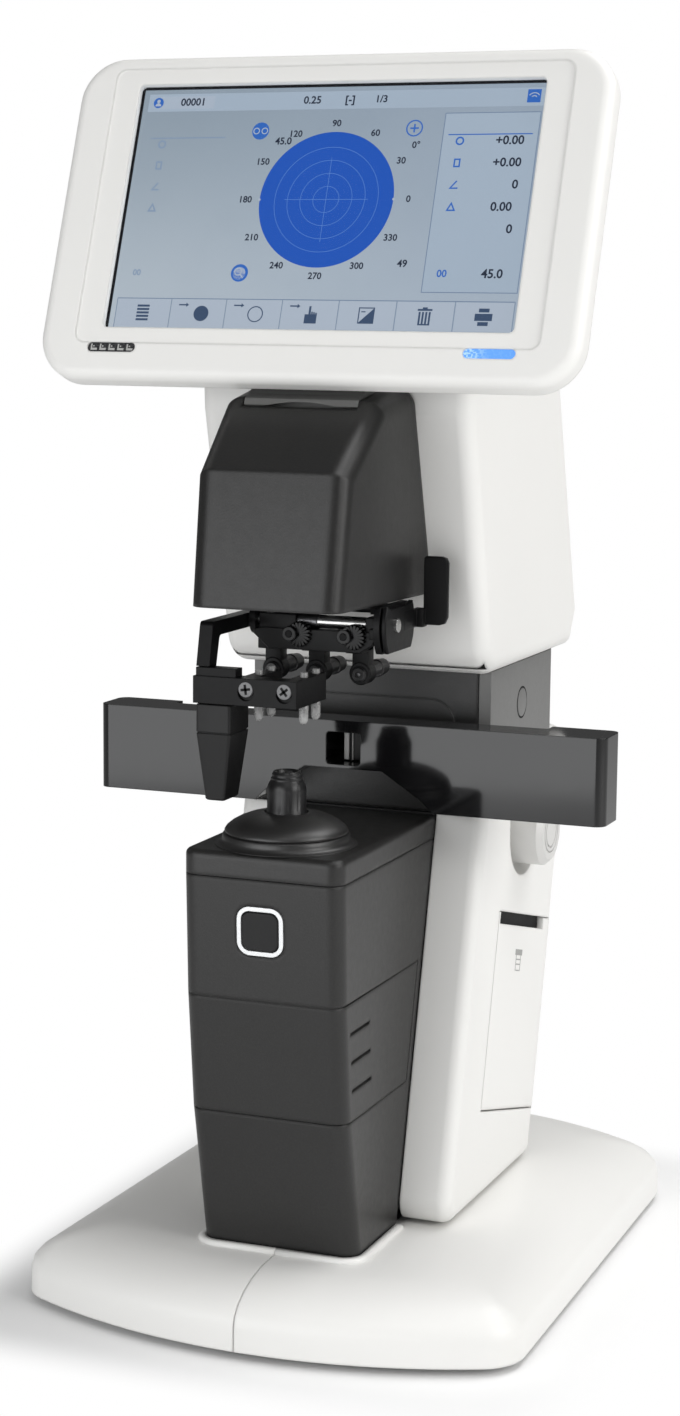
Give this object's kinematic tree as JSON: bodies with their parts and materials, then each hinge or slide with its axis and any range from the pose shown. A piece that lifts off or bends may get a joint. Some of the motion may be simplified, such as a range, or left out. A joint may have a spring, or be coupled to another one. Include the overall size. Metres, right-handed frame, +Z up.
{
  "type": "automatic lens meter",
  "caption": "Desktop automatic lens meter with a tilting touch screen, lens table, four-pin lens presser, pen marker, start button and side printer.",
  "frame": {"origin": "centre of the base where the rubber feet meet the table", "axes": "+Z up, -Y towards the user, +X to the user's right"},
  "size_m": [0.205, 0.263, 0.4552],
  "materials": {
    "white_plastic": "fine satin moulding",
    "dark_plastic": "fine matt texture",
    "soft_black": "matt",
    "gloss_black": "polished",
    "grey_plastic": "satin",
    "steel": "brushed",
    "cast_metal": "cast",
    "rubber": "matt",
    "lens_glass": "polished",
    "lamp_plastic": "clear satin",
    "board": "solder mask",
    "display": "display glass",
    "paper": "matt",
    "pen_plastic": "satin"
  },
  "bodies": {
    "stand": {"base_pan": "steel", "rubber_feet": "rubber", "base_cover_left": "white_plastic", "base_cover_right": "white_plastic", "body_cover_left": "white_plastic", "body_cover_right": "white_plastic", "column_shell": "dark_plastic", "button_light_ring": "lamp_plastic", "column_cap": "dark_plastic", "rest_dome": "dark_plastic", "nose_piece": "soft_black", "receiver_tube": "cast_metal", "circuit_boards": "board", "optic_lenses": "lens_glass", "neck_side_left": "grey_plastic", "neck_side_right": "grey_plastic", "neck_front": "dark_plastic", "upper_housing": "white_plastic", "rear_cover": "white_plastic", "head_cover": "dark_plastic", "head_base_plate": "dark_plastic", "lamp_tube": "cast_metal", "inner_frame": "cast_metal", "hinge_cradle": "grey_plastic", "hinge_pin": "steel", "printer_tray": "grey_plastic", "print_head": "cast_metal", "socket_plate": "dark_plastic", "rear_sockets": "dark_plastic", "power_supply": "steel"},
    "access_cover": {"access_cover": "dark_plastic"},
    "start_button": {"start_button": "soft_black"},
    "screen": {"screen_frame": "white_plastic", "touch_glass": "lens_glass", "display_panel": "display", "screen_boards": "board", "lamp_lenses": "lamp_plastic", "screen_rear": "grey_plastic"},
    "lens_table": {"lens_table": "gloss_black", "table_rails": "steel"},
    "hand_wheel": {"drive_shaft": "steel", "table_knob": "grey_plastic"},
    "presser": {"presser_arm": "steel", "presser_block": "dark_plastic", "presser_grip": "dark_plastic", "presser_screws": "steel"},
    "pin_1": {"lens_pin_1": "steel"},
    "pin_2": {"lens_pin_2": "steel"},
    "pin_3": {"lens_pin_3": "steel"},
    "pin_4": {"lens_pin_4": "steel"},
    "marker_carriage": {"marker_carriage": "steel"},
    "marker_head": {"marker_bracket": "dark_plastic", "marker_shaft": "steel", "marker_lever": "gloss_black", "marker_pens": "pen_plastic"},
    "printer_door": {"printer_door": "white_plastic"},
    "paper_roll": {"paper_roll": "paper"},
    "platen": {"platen_roller": "rubber"},
    "rocker": {"switch_rocker": "dark_plastic"}
  },
  "joints": [
    {"name": "screen_tilt", "type": "hinge", "parent": "stand", "child": "screen", "pos_m": [0, -0.057, 0.343], "axis": [1, 0, 0], "range_deg": [-12, 5]},
    {"name": "start_press", "type": "slide", "parent": "stand", "child": "start_button", "axis": [0, 0.9991, 0.043], "range_m": [0, 0.0015], "stiffness_N_per_m": 600, "springref_m": -0.001},
    {"name": "access_pull", "type": "slide", "parent": "stand", "child": "access_cover", "axis": [0, -1, 0], "range_m": [0, 0.07]},
    {"name": "table_slide", "type": "slide", "parent": "stand", "child": "lens_table", "axis": [0, -1, 0], "range_m": [0, 0.042]},
    {"name": "knob_turn", "type": "hinge", "parent": "stand", "child": "hand_wheel", "pos_m": [0.05, 0.036, 0.164], "axis": [1, 0, 0], "range_deg": [0, 263]},
    {"name": "presser_slide", "type": "slide", "parent": "stand", "child": "presser", "axis": [0, 0, -1], "range_m": [0, 0.006]},
    {"name": "marker_press", "type": "slide", "parent": "stand", "child": "marker_carriage", "axis": [0, 0, -1], "range_m": [0, 0.013], "stiffness_N_per_m": 100, "springref_m": -0.01},
    {"name": "marker_swing", "type": "hinge", "parent": "marker_carriage", "child": "marker_head", "pos_m": [0, -0.0668, 0.2545], "axis": [1, 0, 0], "range_deg": [-90, 0]},
    {"name": "door_hinge", "type": "hinge", "parent": "stand", "child": "printer_door", "pos_m": [0.04875, 0.0207, 0.05599], "axis": [0, 0.969, -0.247], "range_deg": [0, 75]},
    {"name": "roll_turn", "type": "hinge", "parent": "stand", "child": "paper_roll", "pos_m": [0.0289, 0.02758, 0.08298], "axis": [0, 0.969, -0.247], "continuous": true},
    {"name": "platen_turn", "type": "hinge", "parent": "stand", "child": "platen", "pos_m": [0.038, 0.03523, 0.11302], "axis": [0, 0.969, -0.247], "continuous": true},
    {"name": "rocker_tilt", "type": "hinge", "parent": "stand", "child": "rocker", "pos_m": [0, 0.06366, 0.06248], "axis": [1, 0, 0], "range_deg": [-16, 0]},
    {"name": "pin_1_rise", "type": "slide", "parent": "presser", "child": "pin_1", "axis": [0, 0, 1], "range_m": [0, 0.005], "stiffness_N_per_m": 60, "springref_m": -0.002},
    {"name": "pin_2_rise", "type": "slide", "parent": "presser", "child": "pin_2", "axis": [0, 0, 1], "range_m": [0, 0.005], "stiffness_N_per_m": 60, "springref_m": -0.002},
    {"name": "pin_3_rise", "type": "slide", "parent": "presser", "child": "pin_3", "axis": [0, 0, 1], "range_m": [0, 0.005], "stiffness_N_per_m": 60, "springref_m": -0.002},
    {"name": "pin_4_rise", "type": "slide", "parent": "presser", "child": "pin_4", "axis": [0, 0, 1], "range_m": [0, 0.005], "stiffness_N_per_m": 60, "springref_m": -0.002}
  ],
  "couplings": [
    {"joint": "knob_turn", "follows": "table_slide", "rad_per_m": 108.7},
    {"joint": "platen_turn", "follows": "roll_turn", "ratio": -3.2}
  ]
}
